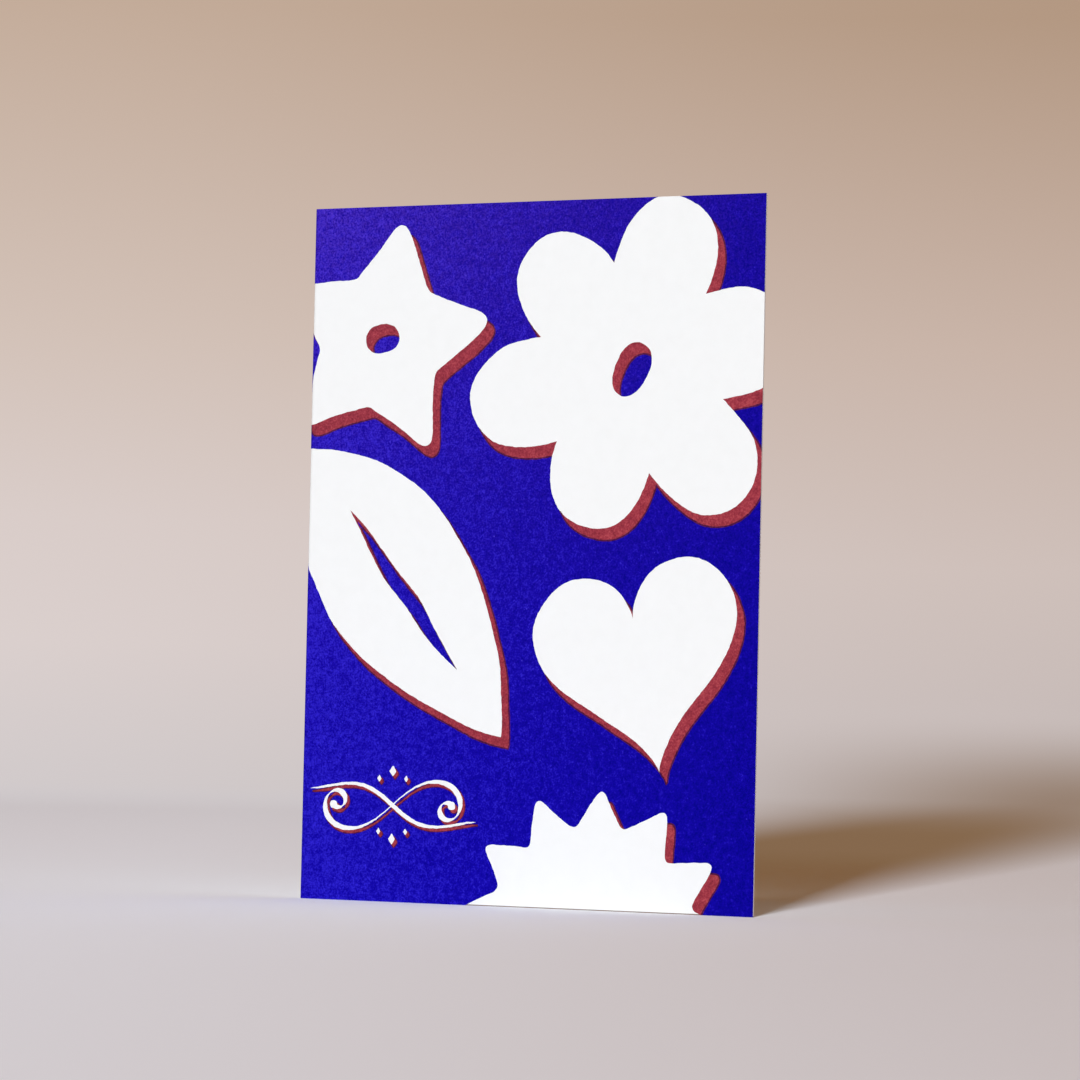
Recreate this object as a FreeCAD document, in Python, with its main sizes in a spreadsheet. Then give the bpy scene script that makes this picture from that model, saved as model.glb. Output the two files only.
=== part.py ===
import FreeCAD, Part
import math
import os
import Sketcher

# Folded greeting card: one sheet of thick card, creased once down its middle and standing ajar.
# Seen from above it is a V. The crease is upright at the -X end, the two panels open towards +X,
# and the printed front is the panel on the -Y side. The card stands on its lower cut edge.
# The origin is the centre of the card's bounding box, at the surface that it stands on.

doc = FreeCAD.newDocument("greeting_card")

# Driving dimensions, in millimetres and degrees.
# A panel's width is measured on the closed card, from its free edge to the back of the crease.
driving_sizes = {
    "panel_width": 105,
    "card_height": 148,
    "paper_thickness": 0.45,
    "crease_inner_radius": 0.35,
    "opening_angle": 50,
}

# Worked out from the driving dimensions.
# A panel is flat from its free edge to where the crease starts to curve.
# The crease's centre lies on the X axis, where it puts the box's middle at the origin.
derived_sizes = {
    "half_angle": "=opening_angle / 2",
    "crease_outer_radius": "=crease_inner_radius + paper_thickness",
    "flat_width": "=panel_width - crease_outer_radius",
    "card_reach": "=crease_outer_radius + flat_width * cos(half_angle * 1 deg)"
                  " - crease_inner_radius * sin(half_angle * 1 deg)",
    "crease_x": "=crease_outer_radius - card_reach / 2",
}

sheet = doc.addObject("Spreadsheet::Sheet", "sizes")
all_sizes = {**driving_sizes, **derived_sizes}
for row, (alias, content) in enumerate(all_sizes.items(), start=1):
    sheet.set(f"A{row}", alias)
    sheet.set(f"B{row}", str(content))
    sheet.setAlias(f"B{row}", alias)
doc.recompute()

# Positions on a sketch element, as the sketcher numbers them
START = 1
END = 2
CENTRE = 3
SKETCH_ORIGIN = (-1, 1)
SKETCH_X_AXIS = -1


def origin_plane(body, role):
    """The body's own origin plane of that role."""
    return next(plane for plane in body.Origin.OriginFeatures if plane.Role == role)


def bind(sketch, name, constraint, expression):
    """Adds a dimension to the sketch and ties it to the sheet."""
    index = sketch.addConstraint(constraint)
    sketch.renameConstraint(index, name)
    sketch.setExpression(f"Constraints.{name}", expression)


def polar(radius, degrees):
    """A point of the sketch at that distance and bearing from the crease's centre."""
    angle = math.radians(degrees)
    return FreeCAD.Vector(radius * math.cos(angle), radius * math.sin(angle), 0)


def crease_arc(sketch, radius, half_angle):
    """One side of the crease's round, from the back panel to the front panel. Returns its number."""
    circle = Part.Circle(FreeCAD.Vector(0, 0, 0), FreeCAD.Vector(0, 0, 1), radius)
    start_angle = math.radians(90 + half_angle)
    end_angle = math.radians(270 - half_angle)
    return sketch.addGeometry(Part.ArcOfCircle(circle, start_angle, end_angle), False)


def panel_strip(sketch, side, inner_arc, outer_arc):
    """One panel's strip of the section: its inner face, outer face and cut edge.

    side is 1 for the back panel, at +Y, and -1 for the printed front.
    """
    half_angle = sheet.half_angle
    along = polar(sheet.flat_width, side * half_angle)
    inner_root = polar(sheet.crease_inner_radius, side * (90 + half_angle))
    outer_root = polar(sheet.crease_outer_radius, side * (90 + half_angle))
    inner_face = sketch.addGeometry(Part.LineSegment(inner_root, inner_root + along), False)
    outer_face = sketch.addGeometry(Part.LineSegment(outer_root, outer_root + along), False)
    cut_edge = sketch.addGeometry(Part.LineSegment(inner_root + along, outer_root + along), False)
    arc_end = START if side == 1 else END
    sketch.addConstraint([
        Sketcher.Constraint("Tangent", inner_face, START, inner_arc, arc_end),
        Sketcher.Constraint("Tangent", outer_face, START, outer_arc, arc_end),
        Sketcher.Constraint("Coincident", inner_face, END, cut_edge, START),
        Sketcher.Constraint("Coincident", outer_face, END, cut_edge, END),
        Sketcher.Constraint("Parallel", inner_face, outer_face),
        Sketcher.Constraint("Perpendicular", outer_face, cut_edge),
    ])
    name = "back" if side == 1 else "front"
    first, second = (SKETCH_X_AXIS, outer_face) if side == 1 else (outer_face, SKETCH_X_AXIS)
    angle = math.radians(half_angle)
    bind(sketch, f"{name}_half_angle",
         Sketcher.Constraint("Angle", first, START, second, START, angle), "sizes.half_angle * 1 deg")
    bind(sketch, f"{name}_flat_width",
         Sketcher.Constraint("Distance", outer_face, sheet.flat_width), "sizes.flat_width")


# The folded sheet: the V-shaped section of its two panels and the crease, drawn on the surface
# that it stands on, and raised by the height of the card
folded_card = doc.addObject("PartDesign::Body", "folded_card")
folded_card.Label = "folded_card"
section = folded_card.newObject("Sketcher::SketchObject", "folded_section")
section.AttachmentSupport = [(origin_plane(folded_card, "XY_Plane"), "")]
section.MapMode = "FlatFace"

inner_arc = crease_arc(section, sheet.crease_inner_radius, sheet.half_angle)
outer_arc = crease_arc(section, sheet.crease_outer_radius, sheet.half_angle)
section.addConstraint([
    Sketcher.Constraint("Coincident", inner_arc, CENTRE, *SKETCH_ORIGIN),
    Sketcher.Constraint("Coincident", outer_arc, CENTRE, *SKETCH_ORIGIN),
])
bind(section, "crease_inner_radius",
     Sketcher.Constraint("Radius", inner_arc, sheet.crease_inner_radius), "sizes.crease_inner_radius")
bind(section, "crease_outer_radius",
     Sketcher.Constraint("Radius", outer_arc, sheet.crease_outer_radius), "sizes.crease_outer_radius")
for panel_side in (-1, 1):
    panel_strip(section, panel_side, inner_arc, outer_arc)

standing_sheet = folded_card.newObject("PartDesign::Pad", "standing_sheet")
standing_sheet.Profile = section
standing_sheet.setExpression("Length", "sizes.card_height")
folded_card.setExpression(".Placement.Base.x", "sizes.crease_x")

sub_parts = [folded_card]
doc.recompute()

# Checks before anything is written
for item in doc.Objects:
    if "Invalid" in item.State or "Error" in item.State:
        raise RuntimeError(f"{item.Label} failed to build: {item.State}")
if section.solve() != 0 or not section.FullyConstrained:
    raise RuntimeError("the folded section isn't fully constrained")
for sub_part in sub_parts:
    if sub_part.Shape.isNull() or not sub_part.Shape.isValid():
        raise RuntimeError(f"{sub_part.Label} has no valid shape")

os.makedirs("parts", exist_ok=True)
for sub_part in sub_parts:
    sub_part.Shape.exportStep(f"parts/{sub_part.Label}.step")
    box = sub_part.Shape.BoundBox
    print(f"{sub_part.Label}: {box.XLength:.3f} x {box.YLength:.3f} x {box.ZLength:.3f} mm,"
          f" {sub_part.Shape.Volume:.1f} mm3, X {box.XMin:.3f} to {box.XMax:.3f}")
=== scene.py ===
import math

import bpy
import numpy as np
from mathutils import Matrix, Vector, noise
from mathutils.geometry import delaunay_2d_cdt


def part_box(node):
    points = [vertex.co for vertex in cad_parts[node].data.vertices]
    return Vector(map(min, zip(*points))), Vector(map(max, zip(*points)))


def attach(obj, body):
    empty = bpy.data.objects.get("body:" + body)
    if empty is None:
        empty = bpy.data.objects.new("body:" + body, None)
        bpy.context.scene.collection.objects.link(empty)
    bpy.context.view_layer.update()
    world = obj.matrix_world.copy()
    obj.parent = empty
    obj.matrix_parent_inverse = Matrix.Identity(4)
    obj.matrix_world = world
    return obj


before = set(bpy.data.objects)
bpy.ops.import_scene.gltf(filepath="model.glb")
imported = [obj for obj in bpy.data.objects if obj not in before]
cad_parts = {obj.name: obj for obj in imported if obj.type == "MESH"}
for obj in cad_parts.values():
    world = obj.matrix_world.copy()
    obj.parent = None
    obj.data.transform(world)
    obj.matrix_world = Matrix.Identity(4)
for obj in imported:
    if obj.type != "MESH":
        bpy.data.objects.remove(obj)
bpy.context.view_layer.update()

# The card: one sheet of thick, smooth, uncoated white board, cut square, creased once down its
# middle and stood ajar. Its solid is kept as it is, and the bare paper shows where there is no ink.
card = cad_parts["folded_card"]
PAPER_TONES = [(0.3, (0.908, 0.913, 0.910, 1)), (0.6, (0.925, 0.930, 0.928, 1))]
PAPER_CLOUD = 2.6  # mm, the cloudiness of the pulp
PAPER_FIBRE = 0.22  # mm, the felt of fibres at the surface
PAPER_ROUGH = 0.8
PAPER_ROUGH_VARY = 0.12
PAPER_FELT_DEPTH = 0.00003
PAINTED_CONTACT_SHADOW = (0.20, 0.135, 0.10, 1)  # painted contact shadow along the paper's foot, where it stands on the table
CONTACT_SHADOW_FADE = (0.000112, 0.00028)  # the heights between which that painted contact shadow fades out
PER_METRE = 1000.0


class Shade:
    """One socket of a material's nodes. Sums on it add Math nodes, with numbers on either side."""

    def __init__(self, tree, socket=None):
        self.tree = tree
        self.socket = socket

    def node(self, kind, settings=None, sockets=None, output=0):
        """Adds a node of that type: its settings first, then its sockets' values or links."""
        made = self.tree.nodes.new(kind)
        for name, value in (settings or {}).items():
            if name == "stops":
                ramp_stops(made.color_ramp, value)
            else:
                setattr(made, name, value)
        for name, value in (sockets or {}).items():
            if isinstance(value, Shade):
                self.tree.links.new(value.socket, made.inputs[name])
            else:
                made.inputs[name].default_value = value
        return Shade(self.tree, made.outputs[output])

    def maths(self, operation, *values):
        return self.node("ShaderNodeMath", {"operation": operation}, dict(enumerate(values)))

    def __add__(self, other):
        return self.maths("ADD", self, other)

    def __radd__(self, other):
        return self.maths("ADD", other, self)

    def __sub__(self, other):
        return self.maths("SUBTRACT", self, other)

    def __rsub__(self, other):
        return self.maths("SUBTRACT", other, self)

    def __mul__(self, other):
        return self.maths("MULTIPLY", self, other)

    def __rmul__(self, other):
        return self.maths("MULTIPLY", other, self)

    def __truediv__(self, other):
        return self.maths("DIVIDE", self, other)

    def __rtruediv__(self, other):
        return self.maths("DIVIDE", other, self)

    def step(self, low, high):
        """0 where the value is under low, 1 where it is over high, and smooth between."""
        return self.node("ShaderNodeMapRange", {"interpolation_type": "SMOOTHSTEP"},
                         {"Value": self, "From Min": low, "From Max": high})

    def blend(self, first, second):
        """The colour that goes from first to second as the value goes from 0 to 1."""
        return self.node("ShaderNodeMix", {"data_type": "RGBA"}, {0: self, 6: first, 7: second}, output=2)

    def ramp(self, stops):
        """The colour that a ramp of (place, colour) stops gives for the value."""
        return self.node("ShaderNodeValToRGB", {"stops": stops}, {"Fac": self})

    def grain(self, size, detail=2.0, roughness=0.5):
        """Noise from 0 to 1 whose features are about that many millimetres across."""
        return self.node("ShaderNodeTexNoise", sockets={
            "Vector": self, "Scale": PER_METRE / size, "Detail": detail, "Roughness": roughness})

    def axis(self, number):
        """The X, Y or Z of the place, for 0, 1 or 2."""
        return self.node("ShaderNodeSeparateXYZ", sockets={0: self}, output=number)


def ramp_stops(color_ramp, stops):
    """Gives a colour ramp its (place, colour) stops."""
    while len(color_ramp.elements) < len(stops):
        color_ramp.elements.new(1.0)
    for element, (place, colour) in zip(color_ramp.elements, stops):
        element.position = place
        element.color = colour


def new_material(name):
    """A material with its surface shader, and a Shade of each point's place on the object."""
    material = bpy.data.materials.new(name)
    material.use_nodes = True
    surface = material.node_tree.nodes["Principled BSDF"]
    place = Shade(material.node_tree).node("ShaderNodeTexCoord", output=3)
    return material, surface, place


def feed(surface, name, shade):
    """Links a Shade to one of the surface shader's sockets."""
    shade.tree.links.new(shade.socket, surface.inputs[name])


def paper_material():
    """Smooth uncoated board: nearly even white, with a faint cloud of pulp, a felt of fibres and a
    painted contact shadow along its foot.
    """
    material, surface, place = new_material("white_board")
    cloud = place.grain(PAPER_CLOUD, detail=1.0)
    fibre = place.grain(PAPER_FIBRE, detail=1.0)
    pulp = (cloud * 0.5 + fibre * 0.5).ramp(PAPER_TONES)
    # The lowest fraction of a millimetre of the paper is darkened as a painted contact shadow.
    feed(surface, "Base Color", place.axis(2).step(*CONTACT_SHADOW_FADE).blend(PAINTED_CONTACT_SHADOW, pulp))
    feed(surface, "Roughness", PAPER_ROUGH + fibre * PAPER_ROUGH_VARY)
    feed(surface, "Normal", place.node("ShaderNodeBump", sockets={
        "Strength": 0.25, "Distance": PAPER_FELT_DEPTH, "Height": fibre}))
    surface.inputs["Specular IOR Level"].default_value = 0.3
    return material


card.data.materials.clear()
card.data.materials.append(paper_material())

# The printed face: the outer side of the panel towards -Y, with the outer half of the crease.
# Print is laid out flat on it in millimetres, across from the crease's back and up from the
# table, and then follows the paper round the crease.
MM = 0.001
low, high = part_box("folded_card")
front = max((face for face in card.data.polygons if face.normal.y < 0),
            key=lambda face: -face.normal.x * face.area)
outward = front.normal.copy()
along = Vector((-outward.y, outward.x, 0))
free_corner = min((vertex.co for vertex in card.data.vertices), key=lambda corner: corner.y)
crease_radius = (outward.dot(free_corner) - outward.x * low.x) / (1 + outward.x)
crease_centre = Vector((low.x + crease_radius, 0, 0))
curl_angle = math.acos(-outward.x)
curl_width = crease_radius * curl_angle / MM
panel_width = curl_width + (free_corner - crease_centre).dot(along) / MM
card_height = high.z / MM


def on_paper(across, up, lift):
    """The place in the frame of a point of the print, lifted off the paper by so many mm."""
    if across < curl_width:
        bearing = math.pi + curl_angle * across / curl_width
        normal = Vector((math.cos(bearing), math.sin(bearing), 0))
        foot = crease_centre + normal * crease_radius
    else:
        normal = outward
        foot = crease_centre + outward * crease_radius + along * (across - curl_width) * MM
    return foot + normal * lift * MM + Vector((0, 0, up * MM))


# The artwork, as it is cut and inked: large shapes cut by hand from white paper, each with a
# drop shadow to its lower right, on a full field of blue. Every outline is a closed run of
# points in millimetres about the shape's own middle, turned and moved to its place on the panel.
OUTLINE_STEP = 0.35
SCISSOR_WANDER = 0.75
SCISSOR_WAVE = 10.0
OVAL_STEPS = 90
ARC_STEPS = 40
HEART_STEPS = 140
CORNER_STEPS = 9
CORNER_REACH = 0.45  # the most of a side that a round corner takes
SHADOW_SHIFT = (1.7, -2.3)
TRAP = 0.36  # the red is printed this much wider, over the blue, so that no gap shows
noise.seed_set(4)  # the scissors and the ink wander the same way each run


def resampled(points, step=OUTLINE_STEP):
    """The closed outline with points at even steps."""
    closed = np.vstack([points, points[:1]])
    run = np.concatenate([[0], np.cumsum(np.linalg.norm(np.diff(closed, axis=0), axis=1))])
    at = np.arange(0, run[-1], step)
    return np.column_stack([np.interp(at, run, closed[:, 0]), np.interp(at, run, closed[:, 1])])


def wandering(points, reach, wave, layer):
    """The outline moved about by smooth noise, by up to reach, in waves of that length."""
    moves = [noise.noise_vector(Vector((x / wave, y / wave, layer))) for x, y in points]
    return points + reach * np.array([(move.x, move.y) for move in moves])


def placed(points, at, turn_deg=0.0):
    """The outline turned about its own middle, moved to its place and cut out by hand."""
    turn = math.radians(turn_deg)
    spin = np.array([(math.cos(turn), math.sin(turn)), (-math.sin(turn), math.cos(turn))])
    return wandering(resampled(np.asarray(points) @ spin + at), SCISSOR_WANDER, SCISSOR_WAVE, 0.0)


def oval(half_long, half_short, at=(0.0, 0.0), turn_deg=0.0, fullness=2.3):
    """A full-cheeked oval."""
    turn = math.radians(turn_deg)
    points = []
    for angle in np.linspace(0, 2 * math.pi, OVAL_STEPS, endpoint=False):
        x = half_long * math.copysign(abs(math.cos(angle)) ** (2 / fullness), math.cos(angle))
        y = half_short * math.copysign(abs(math.sin(angle)) ** (2 / fullness), math.sin(angle))
        points.append((at[0] + x * math.cos(turn) - y * math.sin(turn),
                       at[1] + x * math.sin(turn) + y * math.cos(turn)))
    return np.array(points)


def burst(reach, points, waist):
    """The corners of a star. Its inner ones are at that share of its reach."""
    corners = []
    for number in range(2 * points):
        bearing = math.pi * number / points
        size = reach * (1 if number % 2 == 0 else waist)
        corners.append((size * math.cos(bearing), size * math.sin(bearing)))
    return np.array(corners)


def rounded(corners, radius):
    """A polygon whose corners are cut round."""
    points = []
    for before, corner, after in zip(np.roll(corners, 1, axis=0), corners, np.roll(corners, -1, axis=0)):
        back, on = before - corner, after - corner
        back_long, on_long = math.hypot(*back), math.hypot(*on)
        half_angle = math.acos(np.dot(back, on) / back_long / on_long) / 2
        reach = min(radius / math.tan(half_angle), CORNER_REACH * back_long, CORNER_REACH * on_long)
        start, end = corner + back / back_long * reach, corner + on / on_long * reach
        for share in np.linspace(0, 1, CORNER_STEPS):
            points.append((1 - share) ** 2 * start + 2 * share * (1 - share) * corner + share ** 2 * end)
    return np.array(points)


def lens(half_long, half_wide, skew=0.0):
    """A pointed leaf shape between two arcs. With a skew, its belly sits towards one end."""
    radius = (half_long ** 2 + half_wide ** 2) / (2 * half_wide)
    spread = math.asin(half_long / radius)
    points = []
    for side in (1, -1):
        for angle in np.linspace(-spread, spread, ARC_STEPS, endpoint=False):
            x = side * radius * math.sin(angle)
            y = side * (radius * math.cos(angle) - radius + half_wide)
            points.append((x, y * (1 + skew * x / half_long)))
    return np.array(points)[::-1]


def heart(width):
    """The usual heart curve, that many millimetres wide."""
    points = []
    for turn in np.linspace(0, 2 * math.pi, HEART_STEPS, endpoint=False):
        x = 16 * math.sin(turn) ** 3
        y = 13 * math.cos(turn) - 5 * math.cos(2 * turn) - 2 * math.cos(3 * turn) - math.cos(4 * turn)
        points.append((x, y))
    return np.array(points)[::-1] * width / 32


def motif(whites, holes=(), shadow_shift=SHADOW_SHIFT, trap=TRAP):
    """One cut-out: the outlines that its white is made of, its holes, and its shadow's shift."""
    return {"whites": list(whites), "holes": list(holes), "shift": shadow_shift, "trap": trap}


# The bloom's core, petals and eye, as shares of its reach, and how unlike its petals are.
BLOOM_CORE = 0.42
PETAL_ROOT = 0.6
PETAL_HALF_LONG = 0.4
PETAL_HALF_WIDE = 0.31
EYE_HALF_LONG = 0.16
EYE_HALF_WIDE = 0.1
EYE_TURN = 62
PETAL_TURN = 12
PETAL_VARY = 0.05
PETAL_BEAT = 2.7


def flower_motif(at, reach, petals):
    """A big bloom of broad petals round an oval eye."""
    whites = [placed(oval(BLOOM_CORE * reach, BLOOM_CORE * reach), at)]
    for number in range(petals):
        bearing = 360 / petals * number + PETAL_TURN
        longer = 1 + PETAL_VARY * math.sin(PETAL_BEAT * number)
        turn = math.radians(bearing)
        root = PETAL_ROOT * reach * longer * np.array((math.cos(turn), math.sin(turn)))
        petal = oval(PETAL_HALF_LONG * reach * longer, PETAL_HALF_WIDE * reach, at=root, turn_deg=bearing)
        whites.append(placed(petal, at))
    return motif(whites, [placed(oval(EYE_HALF_LONG * reach, EYE_HALF_WIDE * reach), at, EYE_TURN)])


STAR_AT = (17.0, 119.5)
STAR_TURN = 8
LEAF_AT = (23.5, 66.0)
LEAF_TURN = -52
bloom = flower_motif((75.5, 112.5), 36.0, 6)
star = motif([placed(rounded(burst(27.0, 5, 0.54), 2.6), STAR_AT, STAR_TURN)],
             [placed(oval(3.9, 3.0), STAR_AT, STAR_TURN)])
leaf = motif([placed(lens(38.5, 17.0, skew=-0.22), LEAF_AT, LEAF_TURN)],
             [placed(lens(21.5, 1.8), LEAF_AT, LEAF_TURN)])
love = motif([placed(heart(47.0), (78.5, 53.5), 12)])
sun = motif([placed(rounded(burst(32.0, 13, 0.72), 1.6), (69.0, -6.0), 4)])

# The flourish: a small pen scroll of two crossed strokes that curl in at their ends, white with a
# fine red shadow. A broad nib held at one slant makes each stroke thick one way and thin the other.
FLOURISH_AT = np.array((22.0, 20.5))
FLOURISH_SHIFT = (0.55, -0.6)
FLOURISH_TRAP = 0.2
NIB_SLANT = math.radians(40)
NIB_WIDE = 1.25
NIB_THIN = 0.24
NIB_LEAST = 0.02  # the share of its width left at a stroke's very end
TAPER_CURVE = 0.6
SLANT_CURVE = 1.2
PEN_STEP = 0.15
SCROLL_HEADING = 40
SCROLL_RUNS = [(12, 0.0, -0.12), (9, -0.12, -0.27), (11, -0.27, -0.72)]  # length, curl from, curl to
SWASH_HEADING = -38
SWASH_RUNS = [(8, 0.0, 0.10), (9, 0.10, 0.0), (4, 0.0, -0.08)]
SCROLL_DOT = 0.85
DIAMONDS = [(0.0, 7.2, 1.2), (3.2, 5.6, 0.75), (-3.2, 5.6, 0.75)]  # across, up, size
DIAMOND_SLIM = 0.7


def pen_line(heading_deg, runs):
    """A smooth line through the origin, the same both ways, whose curl changes evenly on each run."""
    heading = math.radians(heading_deg)
    half = [np.zeros(2)]
    for length, curl_from, curl_to in runs:
        for curl in np.linspace(curl_from, curl_to, round(length / PEN_STEP)):
            heading += curl * PEN_STEP
            half.append(half[-1] + PEN_STEP * np.array((math.cos(heading), math.sin(heading))))
    half = np.array(half)
    return np.vstack([-half[:0:-1], half])


def pen_stroke(line, weight, taper):
    """The nib's stroke along the line, as one outline round both its sides."""
    heading = np.gradient(line, axis=0)
    heading /= np.linalg.norm(heading, axis=1)[:, None]
    slant = np.arctan2(heading[:, 1], heading[:, 0]) - NIB_SLANT
    to_end = PEN_STEP * np.minimum(np.arange(len(line)), np.arange(len(line))[::-1])
    narrowing = np.clip(to_end / taper, NIB_LEAST, 1) ** TAPER_CURVE
    broadening = np.abs(np.sin(slant)) ** SLANT_CURVE
    width = narrowing * (NIB_THIN + (weight * NIB_WIDE - NIB_THIN) * broadening)
    side = np.column_stack([-heading[:, 1], heading[:, 0]]) * width[:, None] / 2
    return np.vstack([line - side, (line + side)[::-1]])


scroll_line = pen_line(SCROLL_HEADING, SCROLL_RUNS)
flourish_parts = [pen_stroke(scroll_line, 1.0, taper=0.5),
                  pen_stroke(pen_line(SWASH_HEADING, SWASH_RUNS), 0.75, taper=4.0),
                  *(oval(SCROLL_DOT, SCROLL_DOT, at=scroll_line[end]) for end in (0, -1))]
for across, up, size in DIAMONDS:
    for way in (1, -1):
        slim = DIAMOND_SLIM * size
        kite = np.array([(-slim, 0), (0, -size), (slim, 0), (0, size)])
        flourish_parts.append(resampled(kite + (way * across, way * up)))
flourish = motif([part + FLOURISH_AT for part in flourish_parts],
                 shadow_shift=FLOURISH_SHIFT, trap=FLOURISH_TRAP)
artwork = [bloom, star, leaf, love, sun, flourish]

# The separations: the sheet is cut up along every outline, and each scrap is given to bare
# paper, to the red, to the strip where the red lies over the blue, or to the blue.
GRID = 6.0
CURL_STEPS = 6
WELD = 0.0001
INK_RAGGED = 0.09
INK_TOOTH = 0.8
NOISE_LAYERS = {"white": 5.0, "shadow": 9.0, "spread": 13.0}  # so that each plate has its own edge


def grown(points, margin):
    """The outline moved outwards by the margin, or inwards if the margin is negative."""
    heading = np.roll(points, -1, axis=0) - np.roll(points, 1, axis=0)
    heading /= np.maximum(np.linalg.norm(heading, axis=1), 1e-9)[:, None]
    ahead = np.roll(points, -1, axis=0)
    turns_left = np.sum(points[:, 0] * ahead[:, 1] - ahead[:, 0] * points[:, 1]) > 0
    side = 1 if turns_left else -1
    return points + side * margin * np.column_stack([heading[:, 1], -heading[:, 0]])


def covered(outline, points):
    """Which of the points lie inside the outline."""
    winding = np.zeros(len(points), int)
    for (x0, y0), (x1, y1) in zip(outline, np.roll(outline, -1, axis=0)):
        side = (x1 - x0) * (points[:, 1] - y0) - (points[:, 0] - x0) * (y1 - y0)
        winding += (y0 <= points[:, 1]) & (y1 > points[:, 1]) & (side > 0)
        winding -= (y0 > points[:, 1]) & (y1 <= points[:, 1]) & (side < 0)
    return winding != 0


def inked_edge(points, layer):
    """The outline with the ragged edge that ink has on paper."""
    return wandering(points, INK_RAGGED, INK_TOOTH, layer)


plates = {plate: [] for plate in NOISE_LAYERS}
for shape in artwork:
    for plate, shift, margin in (("white", (0, 0), 0.0), ("shadow", shape["shift"], 0.0),
                                 ("spread", shape["shift"], shape["trap"])):
        layer = NOISE_LAYERS[plate]
        plates[plate].append((
            [inked_edge(grown(outline + shift, margin), layer) for outline in shape["whites"]],
            [inked_edge(grown(outline + shift, -margin), layer) for outline in shape["holes"]]))

rings = [[(0, 0), (panel_width, 0), (panel_width, card_height), (0, card_height)]]
for plate in plates.values():
    for outers, holes in plate:
        rings.extend([*outers, *holes])
corners, cuts = [], []
for ring in rings:
    first = len(corners)
    corners.extend(Vector(point) for point in ring)
    cuts.extend((first + i, first + (i + 1) % len(ring)) for i in range(len(ring)))
for fold in range(1, CURL_STEPS + 1):
    across = curl_width * fold / CURL_STEPS
    cuts.append((len(corners), len(corners) + 1))
    corners.extend((Vector((across, 0)), Vector((across, card_height))))
for column in np.arange(GRID, panel_width, GRID):
    corners.extend(Vector((column, row)) for row in np.arange(GRID / 2, card_height, GRID))
flat_points, _, scraps, *_ = delaunay_2d_cdt(corners, cuts, [], 0, WELD, False)
flat_points = np.array([(point.x, point.y) for point in flat_points])
scraps = np.array(scraps)
middles = flat_points[scraps].mean(axis=1)
on_sheet = (middles > 0).all(axis=1) & (middles[:, 0] < panel_width) & (middles[:, 1] < card_height)
scraps, middles = scraps[on_sheet], middles[on_sheet]


def plate_covers(plate):
    """Which scraps lie in the plate's shapes, outside their holes."""
    inside = np.zeros(len(middles), bool)
    for outers, holes in plate:
        in_shape = np.any([covered(outline, middles) for outline in outers], axis=0)
        for outline in holes:
            in_shape &= ~covered(outline, middles)
        inside |= in_shape
    return inside


bare = plate_covers(plates["white"])
red = plate_covers(plates["shadow"]) & ~bare
overprint = plate_covers(plates["spread"]) & ~red & ~bare
blue = ~(bare | red | overprint)

# The blue ink: the full-bleed field, a dull ultramarine stencil ink that sits on the paper as a
# grainy film. Its colour is a little lighter towards the crease, as painted light from that side, and it
# is pricked with pinholes.
FILM_LIFT = 0.025  # mm, how far the film's top stands off the paper
FILM_SINK = -0.004  # mm, how far its underside soaks in
PRINT_STRIP = (0.76, 0.22)  # where the underside lies beside the print on the film's layout, and how wide
RIM_STRIP = (0.74, 0.01)
INK_FINE = 0.38  # mm, the grain of the film
INK_BLOTCH = 1.3  # mm, its thick and thin patches
FINE_SHARE = 1.2
BLOTCH_SHARE = 0.6
FILM_BODY = 0.42  # sets the usual thickness in the middle of the tones
PINHOLE_GRAIN = (0.75, 0.84)
INK_ROUGH = 0.62
INK_ROUGH_VARY = 0.2
INK_GRAIN_DEPTH = 0.00002
BLUE_TONES = [(0.1, (0.0008, 0.0002, 0.240, 1)), (0.5, (0.0052, 0.0009, 0.364, 1)),
              (0.9, (0.0260, 0.0160, 0.600, 1))]
BLUE_PINHOLE = (0.14, 0.11, 0.64, 1)
# Painted light: the blue's colour gets lighter towards the crease, the side the light comes from.
BLUE_PAINTED_LIGHT_SLOPE = -0.34
# The painted sheen's colour, and how strong, how far across and how grainy it is.
PAINTED_SHEEN = (0.90, 0.30, 0.46, 1)
SHEEN_LEVEL = 0.054
SHEEN_REACH = 1.25
SHEEN_GRAIN = (0.15, 0.85)


def ink_film(name, chosen, material):
    """A closed film of ink over the chosen scraps, with its top, its underside and its edges."""
    faces = scraps[chosen]
    used, faces = np.unique(faces, return_inverse=True)
    faces = faces.reshape(-1, 3)
    points = flat_points[used]
    a, b, c = (points[faces[:, corner]] for corner in range(3))
    clockwise = np.cross(b - a, c - a) < 0
    faces[clockwise] = faces[clockwise][:, ::-1]
    count = len(points)
    tops = [on_paper(across, up, FILM_LIFT) for across, up in points]
    unders = [on_paper(across, up, FILM_SINK) for across, up in points]
    directed = {(int(tri[i]), int(tri[(i + 1) % 3])) for tri in faces for i in range(3)}
    rim = sorted(edge for edge in directed if edge[::-1] not in directed)
    walls = [(end, start, start + count, end + count) for start, end in rim]
    polygons = [*faces.tolist(), *(faces[:, ::-1] + count).tolist(), *walls]
    mesh = bpy.data.meshes.new(name)
    mesh.from_pydata([tuple(point) for point in tops + unders], [], polygons)
    mesh.materials.append(material)
    lay_out(mesh, points, len(faces))
    film = bpy.data.objects.new(name, mesh)
    bpy.context.scene.collection.objects.link(film)
    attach(film, "root")
    return film


def lay_out(mesh, points, triangles):
    """Lays the film's top out flat as on the sheet, with its underside and its edge in strips beside."""
    layer = mesh.uv_layers.new(name="OFBake")
    count = len(points)
    flat = points / card_height
    for number, polygon in enumerate(mesh.polygons):
        for corner, loop in zip(polygon.vertices, polygon.loop_indices):
            u, v = flat[corner % count]
            if number >= 2 * triangles:
                u = RIM_STRIP[0] + RIM_STRIP[1] * (corner >= count)
            elif number >= triangles:
                u = PRINT_STRIP[0] + PRINT_STRIP[1] * u
            layer.data[loop].uv = (u, v)


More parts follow.
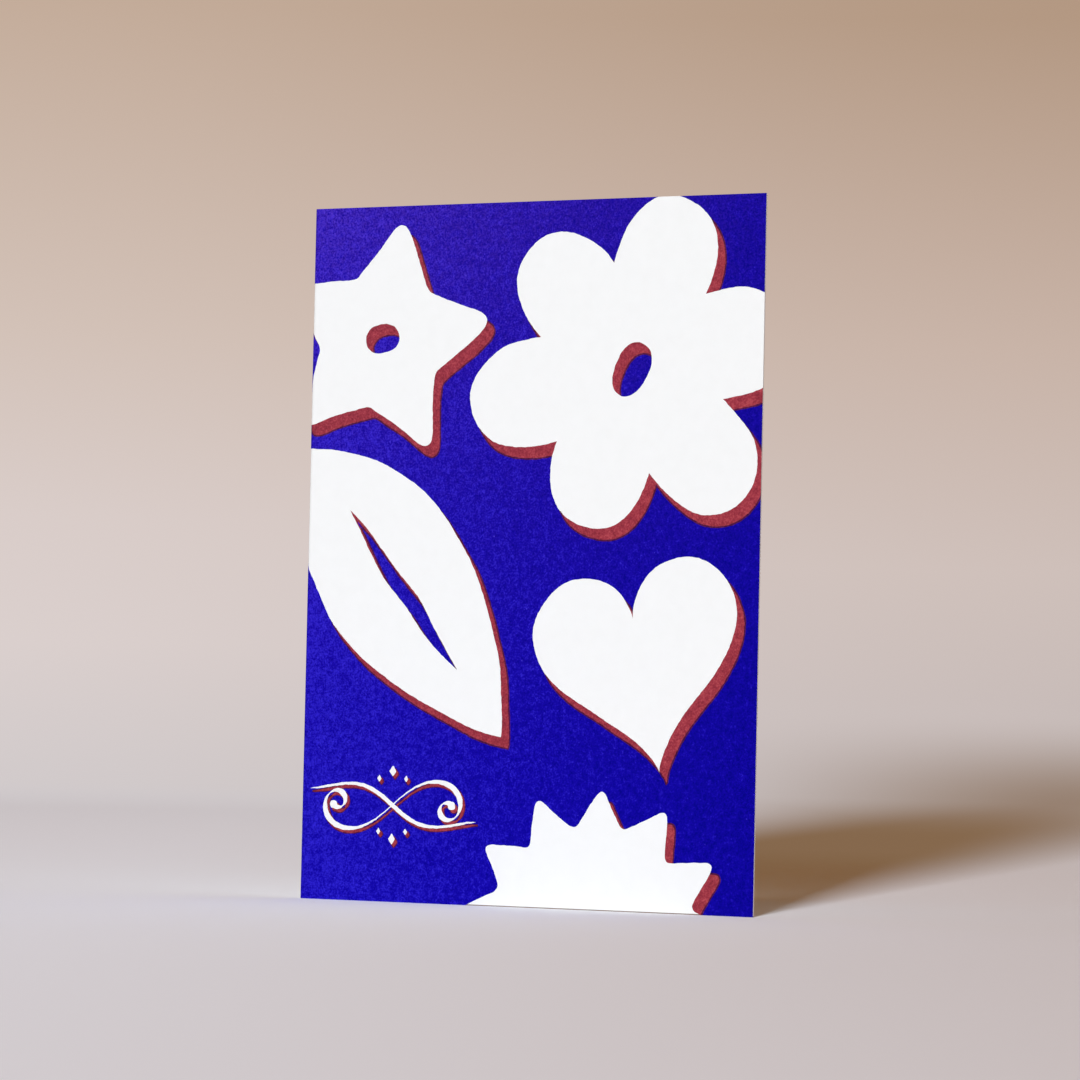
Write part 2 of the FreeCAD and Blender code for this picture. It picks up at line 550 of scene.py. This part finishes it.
def ink_material(name, tones, pinhole, slope):
    """Stencil ink: a grainy film, thick and thin from place to place, with pinholes to the paper.

    slope says how much thinner, and so lighter, the film gets across the card; for the blue that is
    painted light, lighter towards the crease. Towards the top of the crease its colour is mixed with a
    faint painted sheen.
    """
    material, surface, place = new_material(name)
    fine = place.grain(INK_FINE)
    blotch = place.grain(INK_BLOTCH, detail=1.0)
    across = (place.axis(0) - low.x) / (high.x - low.x)
    up = place.axis(2) / high.z
    thinness = fine * FINE_SHARE + blotch * BLOTCH_SHARE + (across - 0.5) * slope - FILM_BODY
    # Painted sheen: a violet highlight mixed into the colour towards the top of the crease side.
    painted_sheen_share = (SHEEN_REACH - across) * up * up * fine.step(*SHEEN_GRAIN) * SHEEN_LEVEL
    ink = painted_sheen_share.blend(thinness.ramp(tones), PAINTED_SHEEN)
    feed(surface, "Base Color", fine.step(*PINHOLE_GRAIN).blend(ink, pinhole))
    feed(surface, "Roughness", INK_ROUGH + fine * INK_ROUGH_VARY)
    feed(surface, "Normal", place.node("ShaderNodeBump", sockets={
        "Strength": 0.3, "Distance": INK_GRAIN_DEPTH, "Height": fine}))
    surface.inputs["Specular IOR Level"].default_value = 0.03
    return material


blue_ink = ink_material("blue_stencil_ink", BLUE_TONES, BLUE_PINHOLE, BLUE_PAINTED_LIGHT_SLOPE)
films = [ink_film("blue_ink", blue, blue_ink)]

# The red ink: the drop shadows, a brick red stencil ink from the second pass. It is printed
# beside the white shapes, and its outer edge runs a little way over the blue.
RED_TONES = [(0.1, (0.185, 0.018, 0.032, 1)), (0.5, (0.325, 0.036, 0.055, 1)),
             (0.9, (0.490, 0.076, 0.092, 1))]
RED_PINHOLE = (0.56, 0.20, 0.22, 1)
RED_SLOPE = 0.10
red_ink = ink_material("red_stencil_ink", RED_TONES, RED_PINHOLE, RED_SLOPE)
films.append(ink_film("red_ink", red, red_ink))

# The overprint: the narrow strip at the shadows' outer edge where the red lies over the blue. The
# inks are a little see-through, so that both together show as a dark plum.
PLUM_TONES = [(0.1, (0.040, 0.004, 0.030, 1)), (0.5, (0.074, 0.009, 0.052, 1)),
              (0.9, (0.130, 0.022, 0.090, 1))]
PLUM_PINHOLE = (0.20, 0.07, 0.24, 1)
PLUM_SLOPE = 0.0
plum_ink = ink_material("red_over_blue_ink", PLUM_TONES, PLUM_PINHOLE, PLUM_SLOPE)
films.append(ink_film("overprint_ink", overprint, plum_ink))

# The stage: a plain pale floor that runs up all round into a low plain backdrop, like a paper
# sweep. Far from the card it shows its own tones to the camera, tan further up and darker to the
# right, low down as painted shadow, and a painted brown shadow carries the card's shadow on where the
# lamp's own has faded.
FLOOR_RINGS = (0.3, 0.8)
FLOOR_FLAT = 1.35
COVE_RADIUS = 0.55
WALL_HEIGHT = 0.72
STAGE_SIDES = 96
COVE_STEPS = 12
FLOOR_LEFT = (0.865, 0.918, 0.945, 1)
FLOOR_RIGHT = (0.740, 0.727, 0.703, 1)
FLOOR_SPAN = (-0.12, 0.14)  # where the floor's tone goes over from left to right
FAR_LEFT = [(0.0, (0.648, 0.600, 0.604, 1)), (0.14, (0.708, 0.631, 0.617, 1)),
            (0.28, (0.700, 0.612, 0.588, 1)), (0.5, (0.651, 0.539, 0.479, 1)),
            (0.9, (0.552, 0.415, 0.326, 1))]
# The right-hand tones are darker low down, as painted shadow of the card.
FAR_RIGHT = [(0.0, (0.560, 0.500, 0.490, 1)), (0.1, (0.575, 0.497, 0.476, 1)),
             (0.24, (0.617, 0.521, 0.485, 1)), (0.5, (0.578, 0.451, 0.386, 1)),
             (0.9, (0.450, 0.312, 0.222, 1))]
FAR_SPAN = (-0.42, 0.42)
FAR_TOP = 0.56
FAR_FROM = (0.65, 1.4)  # the distances over which the stage's own tones come in
# The painted shadow's brown tone, and the sides, distances and heights over which it is laid.
SHADOW_TAIL = (0.235, 0.138, 0.072, 1)
TAIL_FROM = (0.15, 0.45)
TAIL_CREASE_SIDE = (0.055, 0.250)  # metres aside for each metre back, past the crease
TAIL_FOOT_SIDE = (0.15, 0.33)  # the same, past the front's free foot
TAIL_THINS = (0.6, 1.3)
TAIL_THINNING = 0.2
TAIL_RISE = (-0.004, 0.085)
TAIL_BEHIND = (0.0, 0.2)
CAMERA_RAY, GLOSSY_RAY, TRANSMISSION_RAY = 0, 3, 6  # places among the Light Path node's outputs
BLACK = (0.0, 0.0, 0.0, 1)


def stage_sweep():
    """The floor, the cove and the wall as one turned surface, with its middle under the card."""
    profile = [(radius, 0.0) for radius in (0.0, *FLOOR_RINGS)]
    for step in range(COVE_STEPS + 1):
        angle = math.pi / 2 * step / COVE_STEPS
        profile.append((FLOOR_FLAT + COVE_RADIUS * math.sin(angle), COVE_RADIUS * (1 - math.cos(angle))))
    profile.append((FLOOR_FLAT + COVE_RADIUS, WALL_HEIGHT))
    vertices = [(0.0, 0.0, 0.0)]
    for radius, rise in profile[1:]:
        for side in range(STAGE_SIDES):
            turn = 2 * math.pi * side / STAGE_SIDES
            vertices.append((radius * math.cos(turn), radius * math.sin(turn), rise))
    faces = [(0, 1 + side, 1 + (side + 1) % STAGE_SIDES) for side in range(STAGE_SIDES)]
    for ring in range(len(profile) - 2):
        inner, outer = 1 + ring * STAGE_SIDES, 1 + (ring + 1) * STAGE_SIDES
        for side in range(STAGE_SIDES):
            after = (side + 1) % STAGE_SIDES
            faces.append((inner + side, outer + side, outer + after, inner + after))
    mesh = bpy.data.meshes.new("stage_sweep")
    mesh.from_pydata(vertices, [], faces)
    mesh.shade_smooth()
    return mesh


def sweep_material():
    """Pale paper near the card, and the backdrop's own tones, as the camera sees them, far off, with the
    card's shadow painted on behind it.
    """
    material, surface, place = new_material("sweep_paper")
    distance = place.node("ShaderNodeVectorMath", {"operation": "LENGTH"}, {0: place}, output=1)
    seen = (place.node("ShaderNodeLightPath", output=CAMERA_RAY)
            + place.node("ShaderNodeLightPath", output=GLOSSY_RAY)
            + place.node("ShaderNodeLightPath", output=TRANSMISSION_RAY))
    rise = place.axis(2) / FAR_TOP
    # The painted shadow: a brown tone laid where the card's shadow falls, past the crease and short of
    # the front's free foot.
    past_crease = (place.axis(0) - low.x) / place.axis(1)
    past_foot = (place.axis(0) - free_corner.x) / (place.axis(1) - free_corner.y)
    painted_shadow = (past_crease.step(*TAIL_CREASE_SIDE) * (1 - past_foot.step(*TAIL_FOOT_SIDE))
            * (1 - distance.step(*TAIL_THINS) * TAIL_THINNING) * (1 - rise.step(*TAIL_RISE))
            * place.axis(1).step(*TAIL_BEHIND))
    far = distance.step(*FAR_FROM) + painted_shadow * distance.step(*TAIL_FROM)
    tone = place.axis(0).step(*FLOOR_SPAN).blend(FLOOR_LEFT, FLOOR_RIGHT)
    glow = place.axis(0).step(*FAR_SPAN).blend(rise.ramp(FAR_LEFT), rise.ramp(FAR_RIGHT))
    feed(surface, "Base Color", far.blend(tone, BLACK))
    feed(surface, "Emission Color", (far * seen).blend(BLACK, painted_shadow.blend(glow, SHADOW_TAIL)))
    surface.inputs["Emission Strength"].default_value = 1.0
    surface.inputs["Roughness"].default_value = 0.9
    surface.inputs["Specular IOR Level"].default_value = 0.0
    return material


sweep = bpy.data.objects.new("stage_sweep", stage_sweep())
bpy.context.scene.collection.objects.link(sweep)
sweep.data.materials.append(sweep_material())

# The light: a large soft lamp from the front left for the card, a low one for the floor alone, so
# that the card's shadow falls far back to the right, a weaker one on the card's back, and a little
# warm light from all round. Angles are in degrees, and together they leave white paper white.
CARD_LIGHT = {"elevation": 30, "bearing": 15, "distance": 4.0, "size": (0.8, 1.5),
              "level": 0.887, "colour": (0.873, 0.956, 1.0)}
FLOOR_LIGHT = {"elevation": 6.6, "bearing": 11.9, "distance": 20.0, "size": (2.6, 3.2),
               "level": 4.93, "colour": (0.800, 0.864, 1.0)}
BACK_LIGHT = {"elevation": 30, "bearing": 180, "distance": 4.0, "size": (2.0, 1.5),
              "level": 0.62, "colour": (0.85, 0.94, 1.0)}
ROOM_COLOUR = (1.0, 0.52, 0.226, 1)
ROOM_LEVEL = 0.305


def lit_group(name, pieces):
    """A collection of pieces, for a lamp to light or to be shaded by."""
    group = bpy.data.collections.new(name)
    for piece in pieces:
        group.objects.link(piece)
    return group


def soft_lamp(name, light, lights, shaded_by):
    """A rectangular lamp aimed at the card. At level 1 it lights white paper that faces it white."""
    data = bpy.data.lights.new(name, "AREA")
    data.shape = "RECTANGLE"
    data.size, data.size_y = light["size"]
    data.energy = math.pi ** 2 * light["distance"] ** 2 * light["level"]
    data.color = light["colour"]
    lamp = bpy.data.objects.new(name, data)
    elevation, bearing = math.radians(light["elevation"]), math.radians(light["bearing"])
    way = Vector((-math.sin(bearing) * math.cos(elevation), -math.cos(bearing) * math.cos(elevation),
                  math.sin(elevation)))
    lamp.location = (Vector(low) + Vector(high)) / 2 + way * light["distance"]
    lamp.rotation_euler = (-way).to_track_quat("-Z", "Y").to_euler()
    lamp.visible_camera = False
    lamp.light_linking.receiver_collection = lights
    lamp.light_linking.blocker_collection = shaded_by
    bpy.context.scene.collection.objects.link(lamp)


card_group = lit_group("card_and_print", [card, *films])
floor_group = lit_group("floor", [sweep])
soft_lamp("card_light", CARD_LIGHT, card_group, card_group)
soft_lamp("floor_light", FLOOR_LIGHT, floor_group, card_group)
soft_lamp("back_light", BACK_LIGHT, card_group, card_group)

world = bpy.data.worlds.new("room")
world.use_nodes = True
world.node_tree.nodes["Background"].inputs["Color"].default_value = ROOM_COLOUR
world.node_tree.nodes["Background"].inputs["Strength"].default_value = ROOM_LEVEL
bpy.context.scene.world = world
bpy.context.scene.view_settings.view_transform = "Standard"

# The camera: a long lens a hand's breadth above the table, level with the card's lower third,
# tipped up a little and set so that the four corners of the front fall where the photograph has them.
CAMERA_AT = (0.0099, -0.9158, 0.040)
CAMERA_BEARING = math.radians(-0.49)
CAMERA_TIP = math.radians(2.36)
CAMERA_ROLL = math.radians(1.21)
FOCAL_PIXELS = 4270
FRAME_PIXELS = 1080
SENSOR = 36.0

camera_data = bpy.data.cameras.new("camera")
camera_data.sensor_width = SENSOR
camera_data.lens = SENSOR * FOCAL_PIXELS / FRAME_PIXELS
camera_data.clip_start = 0.01
camera = bpy.data.objects.new("camera", camera_data)
aim = (Matrix.Rotation(-CAMERA_BEARING, 4, "Z") @ Matrix.Rotation(math.pi / 2 + CAMERA_TIP, 4, "X")
       @ Matrix.Rotation(CAMERA_ROLL, 4, "Z"))
camera.matrix_world = Matrix.Translation(CAMERA_AT) @ aim
bpy.context.scene.collection.objects.link(camera)
bpy.context.scene.camera = camera
